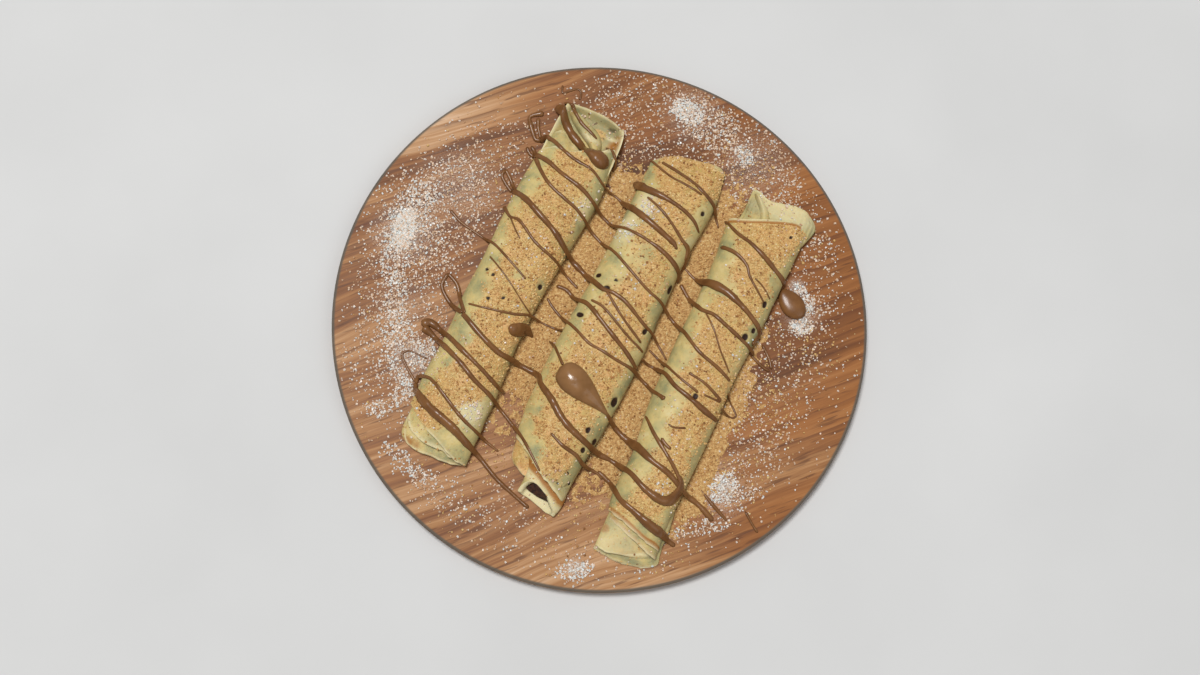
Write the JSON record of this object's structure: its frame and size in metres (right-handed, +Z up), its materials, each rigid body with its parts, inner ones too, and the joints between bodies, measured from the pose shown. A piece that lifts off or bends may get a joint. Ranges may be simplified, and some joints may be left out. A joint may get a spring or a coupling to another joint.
{
  "type": "rolled crepes on a serving board",
  "caption": "Filled crepes rolled up side by side on a round wooden board, with chocolate drizzle, golden crumbs and sugar.",
  "frame": {"origin": "centre of the board's underside, on the surface it stands on", "axes": "+Z up out of the board's top; +Y towards the upper ends of the crepes; +X to the right across them"},
  "size_m": [0.32, 0.32, 0.0327],
  "materials": {
    "wood": "warm brown wood with a fine wavy grain, oiled, the edge darker and greyer",
    "crepe": "soft pale yellow crepe with toasted golden folds, slightly moist",
    "chocolate": "glossy milk chocolate, poured and set in beads",
    "filling": "dark chocolate spread, satin",
    "crumbs": "dry golden crumbs with browned specks",
    "sugar": "white sugar grains, dry"
  },
  "bodies": {
    "root": {"board": "wood", "crepe_left": "crepe", "crepe_middle": "crepe", "crepe_right": "crepe", "filling_middle": "filling", "chocolate_drop": "chocolate", "chocolate_pool": "chocolate"}
  },
  "joints": []
}
